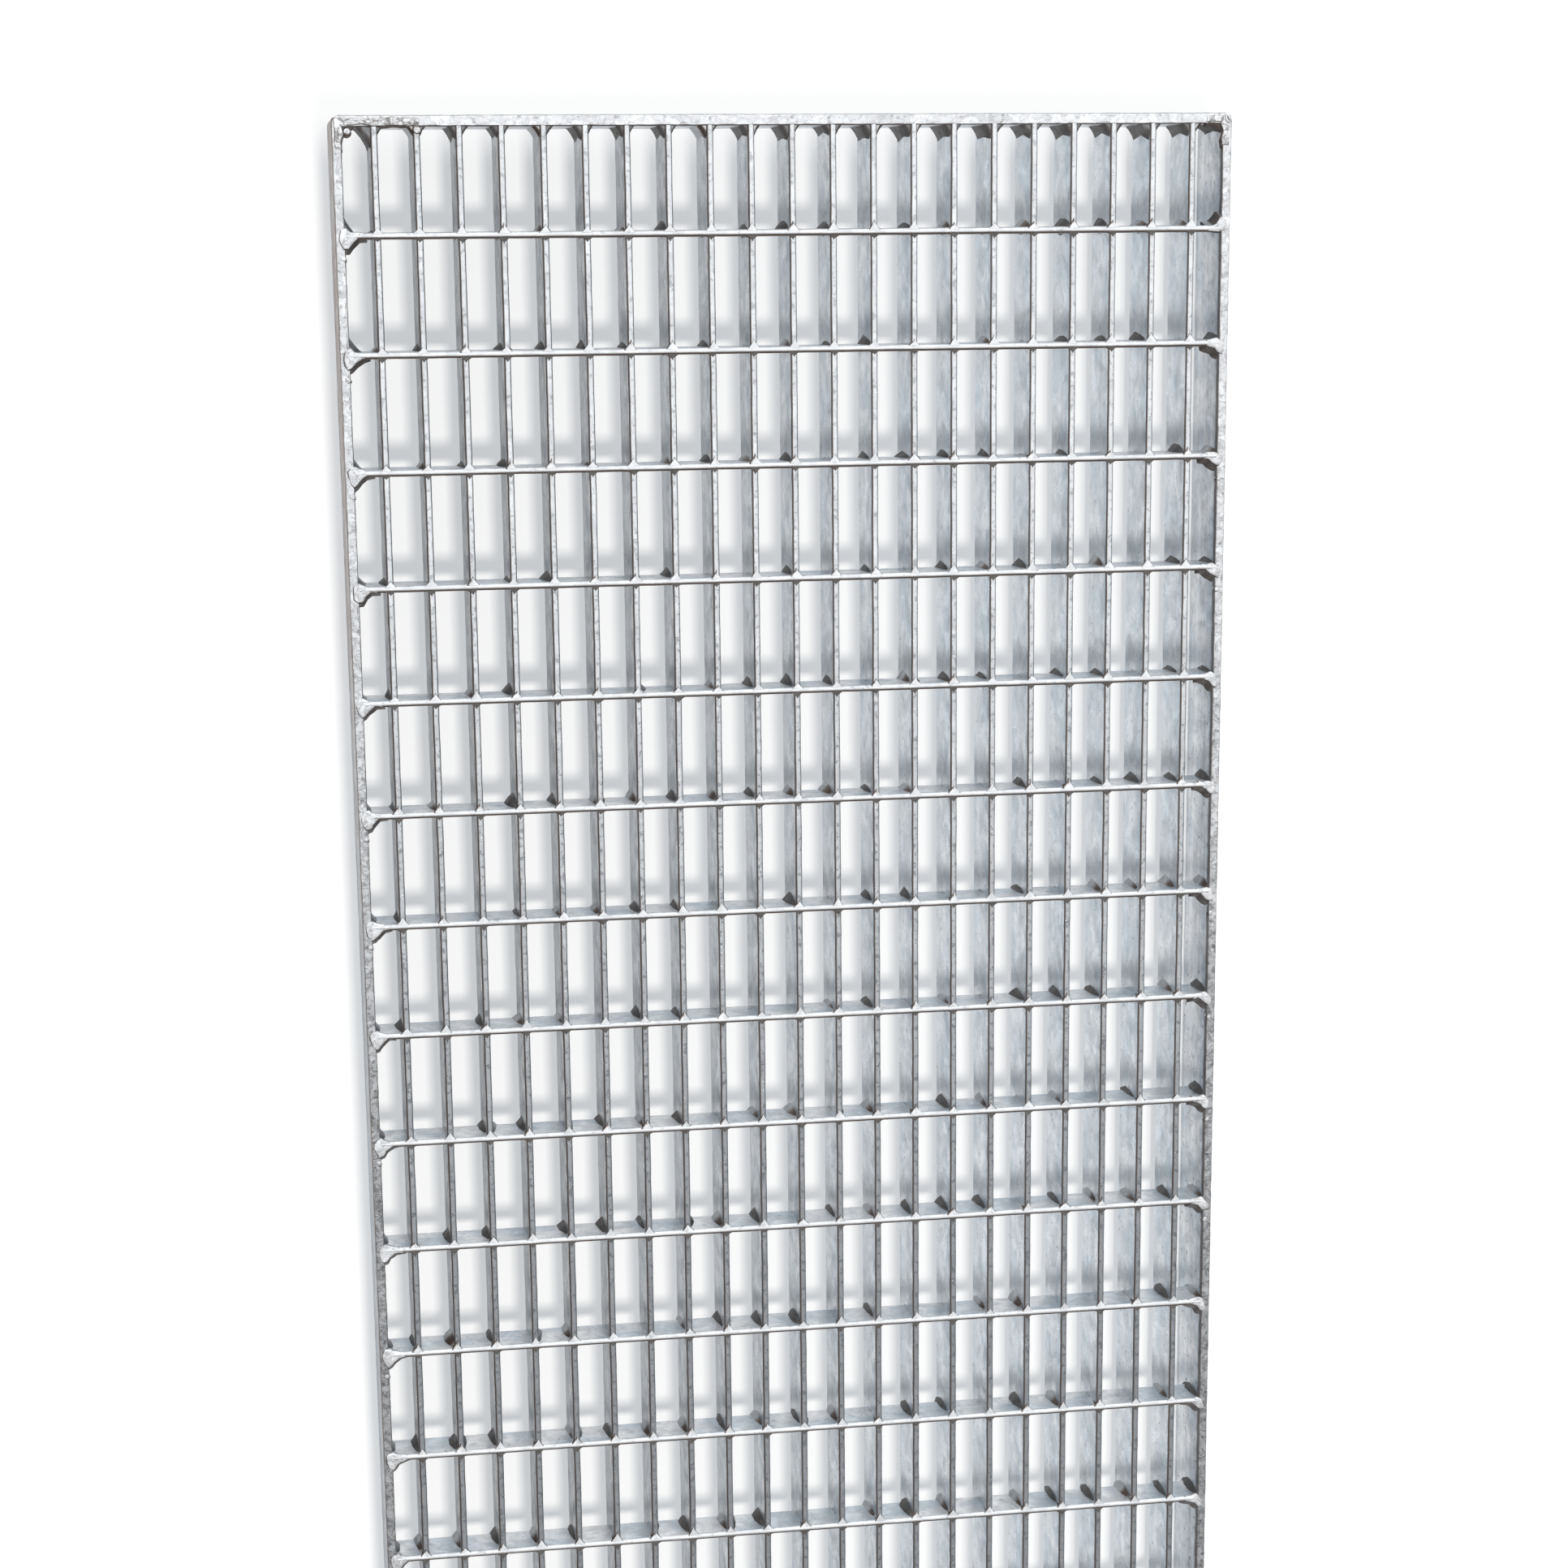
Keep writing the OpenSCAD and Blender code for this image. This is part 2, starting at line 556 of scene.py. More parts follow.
# %% The finish of the bearing bars
# The pale crowns are a painted highlight. The sides on the left, the crests towards the near end and the
# sides past each crossing get painted shade.
ZINC_BAR = zinc("zinc on bearing bars", (0.90, 0.91, 0.92), (0.66, 0.735, 0.805), (0.20, 0.215, 0.23),
                crown=(0.60, 0.90), mottle=0.16, streak=0.16, patch=0.5, spots=0.55, speck=0.5,
                dim=0.9, fade=0.72, drain=0.42, far=0.45, rough=0.24,
                cloud_scale=160.0, dot_scale=620.0)


# %% Helpers for flat bar
def flat_bar(size, centre):
    """A square-edged bar as a bmesh."""
    bar = bmesh.new()
    bmesh.ops.create_cube(bar, size=1.0, matrix=Matrix.Translation(centre)
                          @ Matrix.Diagonal((*size, 1.0)))
    return bar


def long_edges(bar, size, along, where=lambda z: True):
    """The edges that run the bar's whole length, at the heights that where lets through."""
    return [edge for edge in bar.edges
            if abs((edge.verts[0].co - edge.verts[1].co)[along]) > size[along] * 0.8
            and where(edge.verts[0].co.z)]


def round_edges(bar, edges, width, segments):
    """Bevel edges to a round of this width."""
    bmesh.ops.bevel(bar, geom=edges, offset=width, offset_type="OFFSET", segments=segments,
                    profile=0.5, affect="EDGES", material=-1)


# %% A coated flat bar
BROAD_LUMP, FINE_LUMP = 5 * MM, 1.6 * MM  # the widths of the coat's two kinds of lump
FOOT_ROUND = 0.35 * MM  # the lower edges of a bar are hardly rounded


def coated_bar(bm, size, centre, along, rounding, step, waver, seed):
    """Join a bar with a rounded crown to bm; along is 0 for X and 1 for Y."""
    bar = flat_bar(size, centre)
    round_edges(bar, long_edges(bar, size, along, lambda z: z > centre.z), rounding, 4)
    round_edges(bar, long_edges(bar, size, along, lambda z: z < centre.z - size.z * 0.45),
                FOOT_ROUND, 1)
    cuts = max(1, round(size[along] / step) - 1)
    bmesh.ops.subdivide_edges(bar, edges=long_edges(bar, size, along), cuts=cuts)
    for vert in bar.verts:
        push = wobble(vert.co, BROAD_LUMP, seed) * waver
        push += wobble(vert.co, FINE_LUMP, seed + 11) * waver * 0.5
        push[along] = 0.0
        push.z = -abs(push.z)
        vert.co += push
    join(bm, bar)


def weigh_normals(piece):
    """Keep broad faces flat-looking beside their rounded edges."""
    piece.modifiers.new("broad faces", "WEIGHTED_NORMAL").keep_sharp = True


# %% All the bearing bars
crest_z = top_z - 0.3 * MM  # the cross bars stand this little above the bearing bars
bm = bmesh.new()
for index, x in enumerate(bar_xs):
    coated_bar(bm, Vector((bar_t, 2 * clear_y, crest_z - bar_z)),
               Vector((x, 0, (crest_z + bar_z) / 2)), along=1, rounding=0.66 * MM,
               step=2.6 * MM, waver=0.08 * MM, seed=index)
bearing_bars = new_piece("bearing_bars", bm, ZINC_BAR)
weigh_normals(bearing_bars)

# %% [markdown]
# ## The cross bars
#
# The cross bars are pressed into slots and then dipped. They are made just as
# the bearing bars are, across instead of along, with a rounder crown. Their
# crests are painted the palest colour of the panel: a colour that turns pale
# well down the crown gives the bright line that runs across, a painted
# highlight.

# %% The finish and the cross bars
ZINC_CROSS = zinc("zinc on cross bars", (0.985, 0.985, 0.99), (0.70, 0.77, 0.84), (0.30, 0.32, 0.34),
                  crown=(0.30, 0.70), mottle=0.2, streak=0.15, patch=0.8, spots=0.4,
                  lee=0.97, far=0.0, rough=0.26)
bm = bmesh.new()
for index, y in enumerate(cross_ys):
    coated_bar(bm, Vector((2 * clear_x, cross_t, top_z - cross_z)),
               Vector((0, y, (top_z + cross_z) / 2)), along=0, rounding=0.9 * MM,
               step=2.2 * MM, waver=0.05 * MM, seed=40 + index)
cross_bars = new_piece("cross_bars", bm, ZINC_CROSS)
weigh_normals(cross_bars)
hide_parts("bar_mesh")

# %% [markdown]
# ## Zinc webs in the corners
#
# Where two bars cross, the zinc holds a concave web in each of the four
# corners, and dross hangs below some of them. A web could be cut from a
# block with a curved tool, but it is repeated over a thousand times, so it
# has to have only a few faces. One web is therefore a three-cornered profile
# with a hollow front, pulled down the depth of the cross bar in a few rings
# that swell and narrow.

# %% Three finishes for webs
# The steep faces of a web are a dark grey, painted shade in the corner, under a pale top.
ZINC_WEB = zinc("zinc in the corners", (0.98, 0.98, 0.985), (0.42, 0.44, 0.46), (0.12, 0.115, 0.11),
                crown=(0.45, 0.75), mottle=0.08, streak=0.2, spots=0.15, lee=0.97, far=0.4,
                cloud_scale=420.0)
# The dark finish is painted shade on the lumps that hang in the corners, on most fillets and on the webs
# beside the right side bar.
ZINC_DARK_SHADE = zinc("painted shade on lumps in the corners", (0.27, 0.28, 0.29), (0.15, 0.152, 0.155), (0.085, 0.08, 0.078),
                  crown=(0.70, 0.92), mottle=0.5, streak=0.2, spots=0.3, lee=0.97, far=0.8,
                  brown=(0.12, 0.11, 0.105), wall=(0.20, 0.15, 0.12), wall_share=0.3,
                  rough=0.5, metal=0.4, cloud_scale=500.0)
# The near-black finish is painted shade in the near corners of a crossing and in the frame's inner
# corners.
ZINC_BLACK_SHADE = zinc("painted shade in the near corners", (0.10, 0.095, 0.09), (0.10, 0.098, 0.095),
                 (0.05, 0.045, 0.04), mottle=0.4, streak=0.2, spots=0.2, far=0.3,
                 brown=(0.10, 0.08, 0.07), rough=0.55, metal=0.3, cloud_scale=500.0)
WEB, DARK_SHADE, BLACK_SHADE = 0, 1, 2  # the places of the finishes on a piece with webs


# %% Pull faces out of a part
def pull(part, faces):
    """Extrude faces; gives the new corners and the new faces, which haven't moved yet."""
    made = bmesh.ops.extrude_face_region(part, geom=faces)["geom"]
    return ([item for item in made if isinstance(item, bmesh.types.BMVert)],
            [item for item in made if isinstance(item, bmesh.types.BMFace)])


# %% One zinc web
def zinc_web(bm, corner, signs, legs, rings, chance, finish, power, steps=4):
    """Join a web in one corner to bm.

    signs say which way it grows in X and Y, and legs how far. rings are (depth, swell)
    pairs from the top down. A power of 1 gives a flat front, and more a hollow one.
    """
    part = bmesh.new()
    ring = bmesh.ops.create_circle(part, cap_ends=True, cap_tris=False, radius=1.0,
                                   segments=steps + 2)["verts"]
    ring[0].co = Vector((0, 0, 0))
    for step in range(steps + 1):
        share = step / steps
        ring[step + 1].co = Vector((legs[0] * (1 - share) ** power, legs[1] * share ** power, 0))
    lid = part.faces[:]
    size, depth = 1.0, 0.0
    for fall, swell in rings:
        if fall > 0:
            ring, fresh = pull(part, lid)
            if depth > 0:
                bmesh.ops.delete(part, geom=lid, context="FACES_ONLY")
            lid = fresh
            bmesh.ops.translate(part, verts=ring, vec=(0, 0, depth - fall))
        wanted = swell * chance.uniform(0.9, 1.1)
        bmesh.ops.scale(part, verts=ring, vec=(wanted / size, wanted / size, 1))
        size, depth = wanted, fall
    for face in part.faces:
        face.material_index = finish
    bmesh.ops.transform(part, verts=part.verts,
                        matrix=Matrix.Translation(corner) @ Matrix.Diagonal((*signs, 1, 1)))
    join(bm, part)


# %% Rings and corners for the webs
# (depth, swell) pairs for a plain web, for hanging dross and for a bearing bar's end
PLAIN = [(0.0, 0.9), (0.25 * MM, 1.0), (6.0 * MM, 0.75), (12.0 * MM, 1.0), (14.6 * MM, 0.4)]
HEAVY = [(0.0, 0.4), (0.8 * MM, 0.8), (5.0 * MM, 1.2), (10.0 * MM, 1.3), (15.2 * MM, 0.4)]
END = [(0.0, 0.6), (0.8 * MM, 1.0), (9.0 * MM, 0.8), (17.0 * MM, 1.0), (18.6 * MM, 0.5)]
SUNK = 0.5 * MM  # a web starts this far inside a bar, so that no gap shows
BEDDED = 0.3 * MM  # the same at the frame
FAR_TOP, NEAR_TOP = 0.03 * MM, 0.24 * MM  # how far below the panel's top the webs begin


def crossing(x, y, signs, inside, below):
    """A corner at a crossing, this far inside the bearing bar's side and below the top."""
    return Vector((x + signs[0] * (bar_t / 2 - inside), y + signs[1] * (cross_t / 2 - SUNK),
                   top_z - below))


def between(chance, low, high):
    """A random length between two lengths in millimetres."""
    return chance.uniform(low, high) * MM


# %% The webs at all the crossings
chance = random.Random(7)
bm = bmesh.new()
for x in bar_xs:
    for y in cross_ys:
        far_leg, near_leg = between(chance, 1.9, 3.0), between(chance, 1.4, 2.2)
        for side in (-1, 1):
            # the pale web on the far side of the cross bar
            legs = (between(chance, 1.6, 2.2), far_leg)
            zinc_web(bm, crossing(x, y, (side, 1), bar_t / 2, FAR_TOP), (side, 1), legs, PLAIN,
                     chance, WEB, power=1.15)
            # dross hangs in the same corner, mostly on the left of a bar
            if chance.random() < (0.65 if side < 0 else 0.15):
                corner = crossing(x, y, (side, 1), SUNK, between(chance, 1.2, 4.5))
                legs = (between(chance, 1.5, 2.6), between(chance, 1.7, 2.8))
                # most of these lumps take the dark finish, painted shade
                finish = DARK_SHADE if chance.random() < 0.6 else WEB
                zinc_web(bm, corner, (side, 1), legs, HEAVY, chance, finish,
                         power=chance.uniform(0.8, 1.2))
            # the web on the near side, near-black as painted shade
            legs = (between(chance, 1.9, 2.7), near_leg)
            zinc_web(bm, crossing(x, y, (side, -1), bar_t / 2, NEAR_TOP), (side, -1), legs, PLAIN,
                     chance, BLACK_SHADE, power=1.3)
webs = new_piece("zinc_webs", bm, ZINC_WEB, ZINC_DARK_SHADE, ZINC_BLACK_SHADE)

# %% [markdown]
# ## Fillets at the bars' ends
#
# A bearing bar meets the end bar of the frame in a corner that holds more
# zinc than a crossing does. The same web serves, with longer legs and
# deeper rings. It is larger on the left of a bar, where the zinc came to
# rest, and largest in the panel's far left corner.

# %% The fillets
bm = bmesh.new()
for x in bar_xs:
    for end in (-1, 1):
        for side in (-1, 1):
            corner = Vector((x + side * (bar_t / 2 - BEDDED), end * (clear_y + BEDDED),
                             top_z - between(chance, 0.7, 1.3)))
            swell = 1.35 if side < 0 else 1.1
            if side < 0 and end > 0 and x == bar_xs[0]:
                swell = 2.0
            legs = (between(chance, 2.2, 3.0) * swell, between(chance, 3.0, 4.4) * swell)
            # most fillets take the dark finish, painted shade
            finish = DARK_SHADE if chance.random() < 0.75 else WEB
            zinc_web(bm, corner, (side, -end), legs, END, chance, finish, power=1.35)
fillets = new_piece("bar_end_fillets", bm, ZINC_WEB, ZINC_DARK_SHADE)

# %% [markdown]
# ## The frame
#
# Four flat bars on edge stand round the mesh. Their tops were hammered,
# welded over and dipped, so they are rougher than anything inside. A bump
# alone would leave their outline straight, so the skin itself is dense and
# lumpy: each bar is cut finely every way, and each corner of the skin then
# moves in along its own normal.

# %% Two finishes for the frame
# The outer faces of these bars take a dark film of painted shade, and their crests are dulled towards
# the near end as painted shade.
ZINC_FRAME = zinc("zinc on the frame", (0.975, 0.975, 0.98), (0.66, 0.72, 0.78), (0.13, 0.135, 0.14),
                  mottle=0.14, patch=0.6, speck=0.45, vein=0.45, fade=0.55, lee=0.75, far=0.6,
                  wall=(0.24, 0.185, 0.16), wall_share=0.9, outside=edge_x - 0.8 * MM,
                  rough=0.3, bump=0.8, cloud_scale=280.0, dot_scale=520.0)
ZINC_END = zinc("zinc on the end bars", (0.98, 0.98, 0.985), (0.66, 0.72, 0.78), (0.13, 0.135, 0.14),
                crown=(0.35, 0.75), mottle=0.04, patch=0.6, speck=0.22, vein=0.25, far=0.6,
                north=1.0, rough=0.3, bump=0.6, cloud_scale=240.0, dot_scale=520.0)


# %% Round the edges of a frame bar
CORNER_ROUND = 2.5 * MM
SIDE_CROWN, END_CROWN = 0.55 * MM, 0.5 * MM


def round_frame_bar(bar, size, centre, outer):
    """Round a side bar's two outer corners, then the feet and the crown of any bar."""
    if outer:
        posts = [edge for edge in bar.edges
                 if abs((edge.verts[0].co - edge.verts[1].co).z) > size.z * 0.9
                 and edge.verts[0].co.x * outer > centre.x * outer]
        round_edges(bar, posts, CORNER_ROUND, 5)
    feet = [edge for edge in bar.edges
            if abs((edge.verts[0].co - edge.verts[1].co).z) < size.z * 0.1
            and not edge.verts[0].co.z > centre.z]
    round_edges(bar, feet, FOOT_ROUND, 1)
    crown = [edge for edge in bar.edges
             if min(vert.co.z for vert in edge.verts) > centre.z + size.z * 0.49
             and edge.is_manifold and edge.calc_face_angle() > 1.0]
    round_edges(bar, crown, SIDE_CROWN if outer else END_CROWN, 3)


# %% Cut a frame bar finely
END_CUT = 3.2 * MM  # the first cut from each end, clear of the rounded corners
FINE_STEP = 0.9 * MM


def cut_across(bar, centre, axis, shift):
    """Cut a plane through the bar, this far along an axis from its centre."""
    place, normal = Vector(centre), Vector((0, 0, 0))
    place[axis] += shift
    normal[axis] = 1.0
    bmesh.ops.bisect_plane(bar, geom=bar.verts[:] + bar.edges[:] + bar.faces[:], dist=1e-7,
                           plane_co=place, plane_no=normal)


def cut_finely(bar, size, centre, along):
    """Cut a bar a few times over its thickness and height, and often over its length."""
    for sign in (-1, 1):
        cut_across(bar, centre, along, sign * (size[along] / 2 - END_CUT))
    for axis, count in ((1 - along, 4), (2, 7)):
        for cut in range(1, count + 1):
            cut_across(bar, centre, axis, size[axis] * (cut / (count + 1) - 0.5))
    bmesh.ops.subdivide_edges(bar, edges=long_edges(bar, size, along),
                              cuts=round(size[along] / FINE_STEP))


# %% A frame bar with its lumps
LUMP, SWAY = 3.5 * MM, 22 * MM  # the widths of a lump and of a slow wave
LUMP_DEPTH, SWAY_DEPTH = 0.16 * MM, 0.05 * MM


def frame_bar(name, box, along, outer, seed):
    """A frame bar as a dense, gently lumpy skin, lumpier on top."""
    size = Vector(box[1]) - Vector(box[0])
    centre = (Vector(box[0]) + Vector(box[1])) / 2
    bar = flat_bar(size, centre)
    round_frame_bar(bar, size, centre, outer)
    cut_finely(bar, size, centre, along)
    bmesh.ops.recalc_face_normals(bar, faces=bar.faces)
    bar.normal_update()
    for vert in bar.verts:
        upward = max(0.0, vert.normal.z)
        lump = noise.fractal(vert.co / LUMP + Vector((seed, 0, 0)), 0.8, 2.1, 4)
        sway = noise.noise(vert.co / SWAY + Vector((0, seed, 0)))
        vert.co -= vert.normal * (LUMP_DEPTH * (0.35 + upward) * (0.9 + lump)
                                  + SWAY_DEPTH * (1 + sway))
    piece = new_piece(name, bar, ZINC_FRAME if outer else ZINC_END)
    return piece


# %% All four frame bars
TUCK = 1 * MM  # the coat of an end bar runs this far into the side bars
DRAINED = 0.4 * MM  # and is this much thicker on the inner side, where it drained
for name, along, outer, seed in (("side_bar_left", 1, -1, 3.0), ("side_bar_right", 1, 1, 17.0),
                                 ("end_bar_top", 0, 0, 29.0), ("end_bar_bottom", 0, 0, 41.0)):
    box = [list(corner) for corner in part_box(name)]
    if along == 0:
        box[0][0] -= TUCK
        box[1][0] += TUCK
        if name == "end_bar_top":
            box[0][1] -= DRAINED
        else:
            box[1][1] += DRAINED
    piece = frame_bar("coated_" + name, box, along, outer, seed)
    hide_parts(name)

# %% [markdown]
# ## Welds
#
# Each cross bar is welded to the side bars where its top meets theirs. The
# weld is a flat-topped lump that laps over the frame and narrows into the
# cross bar, with a steep side below it. A squashed ball would be quicker,
# but it has no flat top and no steep side. So the weld starts as its plan,
# a rounded polygon. An extrusion makes the steep side, three insets round
# the rim, and noise roughens it all.

# %% Two finishes for welds
ZINC_WELD = zinc("zinc on weld beads", (0.98, 0.98, 0.985), (0.62, 0.65, 0.68), (0.13, 0.125, 0.12),
                 crown=(0.35, 0.75), mottle=0.12, streak=0.1, spots=0.4, speck=0.3, vein=0.45,
                 lee=0.97, brown=(0.15, 0.125, 0.11), far=0.1, rough=0.28, bump=0.8,
                 cloud_scale=300.0, dot_scale=520.0)
ZINC_PATCH = zinc("zinc on the closed corners", (0.98, 0.98, 0.985), (0.62, 0.65, 0.68),
                  (0.17, 0.145, 0.13), crown=(0.45, 0.85), mottle=0.22, streak=0.1, spots=0.7,
                  speck=0.7, vein=0.85, lee=0.97, brown=(0.17, 0.13, 0.11), far=0.5, north=1.0,
                  rough=0.3, bump=0.9, cloud_scale=300.0)

# %% One weld
SHOULDER = 0.55 * MM  # how far below its top a weld's steep side begins
ROUNDS = ((0.5, 0.26), (1.0, 0.19), (1.8, 0.08))  # insets as (share of the rim, rise in mm)
FOOT_SPREAD, MOST_SPREAD = 0.12, 0.45 * MM  # how much wider the foot is than the plan
WELD_LUMP = 1.1 * MM
LEAST_COVER = 0.02 * MM  # no lump comes closer to the top than this


def weld(bm, plan, top, skirt, drop, seed, rim=0.28 * MM, rough=0.10 * MM):
    """Join a lump over a plan to bm.

    Its foot is pushed out by skirt and down by drop. rim is the width of one inset of its
    rounded rim, and rough is how far the noise may push its skin.
    """
    part = bmesh.new()
    ring = bmesh.ops.create_circle(part, cap_ends=True, cap_tris=False, radius=1.0,
                                   segments=len(plan))["verts"]
    for vert, (x, y) in zip(ring, plan):
        vert.co = Vector((x, y, top - SHOULDER))
    foot, _ = pull(part, part.faces[:])
    heart = sum((vert.co for vert in foot), Vector()) / len(foot)
    for vert in foot:
        spread = vert.co - heart
        spread *= min(FOOT_SPREAD, MOST_SPREAD / spread.length)
        vert.co += Vector((*skirt, -drop)) + spread
    part.normal_update()
    lid = [face for face in part.faces
           if all(abs(vert.co.z - (top - SHOULDER)) < 1e-6 for vert in face.verts)]
    for share, rise in ROUNDS:
        bmesh.ops.inset_region(part, faces=lid, thickness=rim * share, depth=0.0,
                               use_even_offset=True)
        for vert in lid[0].verts:
            vert.co.z += rise * MM
    bmesh.ops.poke(part, faces=lid)
    bmesh.ops.subdivide_edges(part, edges=part.edges[:], cuts=1, use_grid_fill=True)
    for vert in part.verts:
        push = wobble(vert.co, WELD_LUMP, seed) * rough
        push.z = min(push.z, top - LEAST_COVER - vert.co.z)
        vert.co += push
    join(bm, part)


# %% Plans for welds
def round_plan(x, y, radius, count):
    """Points round a circle, in the same unit as its radius."""
    turns = [step * math.tau / count for step in range(count)]
    return [(x + radius * math.cos(turn), y + radius * math.sin(turn)) for turn in turns]


def plan_of(side, y, points, chance, jitter, flip):
    """A plan at a cross bar's end from (inward, along) pairs in mm, with a little chance in it."""
    plan = []
    for inward, along in points:
        inward += chance.uniform(-jitter, jitter)
        along = along * flip + chance.uniform(-jitter, jitter)
        plan.append((side * (clear_x - inward * MM), y + along * MM))
    return plan


LEFT_PLAN = [(5.4, 0.85), (3.4, 1.0), (1.6, 1.4), (0.2, 2.2), (-1.2, 1.9), (-2.2, 0.7), (-2.3, -1.0),
             (-1.8, -2.8), (-0.6, -4.2), (0.7, -3.6), (1.8, -2.3), (3.3, -1.2), (5.4, -0.85)]
RIGHT_PLAN = [(4.2, 0.95), (2.2, 1.15), (0.6, 1.5), (-0.9, 0.8), (-1.8, -0.8), (-2.0, -2.6),
              (-0.9, -3.5), (0.3, -3.0), (1.4, -1.9), (2.6, -1.2), (4.2, -0.95)]
print("weld plans have", len(LEFT_PLAN), "and", len(RIGHT_PLAN), "points")

# %% The welds at the ends of the cross bars
chance = random.Random(21)
bm = bmesh.new()
for index, y in enumerate(cross_ys):
    for side, points in ((-1, LEFT_PLAN), (1, RIGHT_PLAN)):
        # the last weld on the right was made from the other side
        flip = -1 if side > 0 and index == cross_count - 1 else 1
        plan = plan_of(side, y, points, chance, 0.3, flip)
        skirt = (0.3 * MM, -0.9 * MM) if side < 0 else (-0.7 * MM, -1.25 * flip * MM)
        weld(bm, plan, top_z - 0.02 * MM, skirt, drop=2.6 * MM, seed=index * 9 + side * 3)
        # a ball of spatter beside more than half of them
        if chance.random() < 0.6:
            ball = round_plan(-0.9, -chance.uniform(5.8, 7.2), 1.0, 9)
            weld(bm, plan_of(side, y, ball, chance, 0.1, flip), top_z - 0.1 * MM,
                 (0, -0.4 * MM), drop=0.9 * MM, seed=index + 70, rim=0.18 * MM)
welds = new_piece("end_welds", bm, ZINC_WELD, crease=70)

# %% [markdown]
# ## The closed corners of the frame
#
# At the far end the frame's corners were closed with flat weld metal, which
# runs a little way along the end bar and down the side bar. It is far
# longer on the left, and two drops hang from it there. Each stretch is the
# same weld on a long thin plan with ragged edges.

# %% Plans for the patches
STRIP_POINTS, SHORT_POINTS = 10, 5


def corner_plan(side, points):
    """A plan from (inward, nearer) pairs in mm, counted from the frame's far corner."""
    return [(side * (edge_x - inward * MM), edge_y - nearer * MM) for inward, nearer in points]


def patch_plans(side, start, reach, chance):
    """The strip along the end bar, from start to reach in mm, and the one down the side bar."""
    run = [start + (reach - start) * step / (STRIP_POINTS - 1) for step in range(STRIP_POINTS)]
    along = [(inward, 0.6 + chance.uniform(-0.2, 0.4)) for inward in run]
    along += [(inward, chance.uniform(2.8, 3.8)) for inward in reversed(run)]
    fall = [0.8 + 2.2 * step for step in range(SHORT_POINTS)]
    down = [(0.7 + chance.uniform(-0.1, 0.3), nearer) for nearer in fall]
    down += [(chance.uniform(2.9, 3.7), nearer) for nearer in reversed(fall)]
    return [corner_plan(side, strip) for strip in (along, down)]


# %% The patches and their drops
chance = random.Random(5)
bm = bmesh.new()
# the left strip reaches 25 mm from the corner and the right one 8 mm
for side, start, reach, seed in ((-1, 0.6, 25.0, 3), (1, 0.5, 8.0, 8)):
    for plan in patch_plans(side, start, reach, chance):
        weld(bm, plan, top_z - 0.03 * MM, (0, -0.4 * MM), drop=0.9 * MM, seed=seed,
             rim=0.16 * MM, rough=0.16 * MM)
for inward, nearer, radius in ((4.5, 4.6, 1.2), (24.2, 4.2, 1.3)):
    hanging = [(inward + x, nearer - y) for x, y in round_plan(0, 0, radius, 11)]
    weld(bm, corner_plan(-1, hanging), top_z - 0.05 * MM, (0, -0.5 * MM), drop=1.4 * MM,
         seed=inward, rim=0.2 * MM)
corners = new_piece("corner_welds", bm, ZINC_PATCH, crease=70)

# %% [markdown]
# ## Dross beside the side bars
#
# The last open corners are those between a cross bar and a side bar, and the
# four inner corners of the frame. They hold heavy webs of the same kind. The
# frame's corners are wide, so their webs have more steps and a hollower
# front.

# %% The webs beside the side bars
bm = bmesh.new()
for y in cross_ys:
    for side in (-1, 1):
        corner = Vector((side * (clear_x + BEDDED), y + (cross_t / 2 - SUNK), top_z - 1.0 * MM))
        # the largest are on the left in the far part of the panel
        swell = 1.0 if side < 0 and y > 0.1 else 0.62
        legs = (between(chance, 2.6, 3.6) * swell, between(chance, 2.6, 4.4) * swell)
        # most webs on the right take the dark finish, painted shade
        finish = DARK_SHADE if side > 0 and chance.random() < 0.7 else WEB
        zinc_web(bm, corner, (-side, 1), legs, HEAVY, chance, finish, power=1.2)
for side, leg_x, leg_y in ((-1, 7.5, 6.0), (1, 7.0, 3.4)):
    for end in (-1, 1):
        corner = Vector((side * (clear_x + BEDDED), end * (clear_y + BEDDED), top_z - 0.8 * MM))
        # the frame's inner corners take the near-black finish, painted shade
        zinc_web(bm, corner, (-side, -end), (leg_x * MM, leg_y * MM), END, chance, BLACK_SHADE,
                 power=1.5, steps=7)
dross = new_piece("side_bar_dross", bm, ZINC_WEB, ZINC_DARK_SHADE, ZINC_BLACK_SHADE)

# %% [markdown]
# ## The floor
#
# The floor is plain and pale. A painted floor would go grey where the light
# falls off, so this one is half paint, which takes the shadow, and half
# glow, which the eye and the metal see as near white. Away from the panel
# the glow takes over, and the floor fades into the white behind it.

# %% The paint and glow of the floor
FLOOR_SIZE = 6.0
FLOOR_GAP = 0.2 * MM
GLOW = 0.54  # the share of glow close to the panel


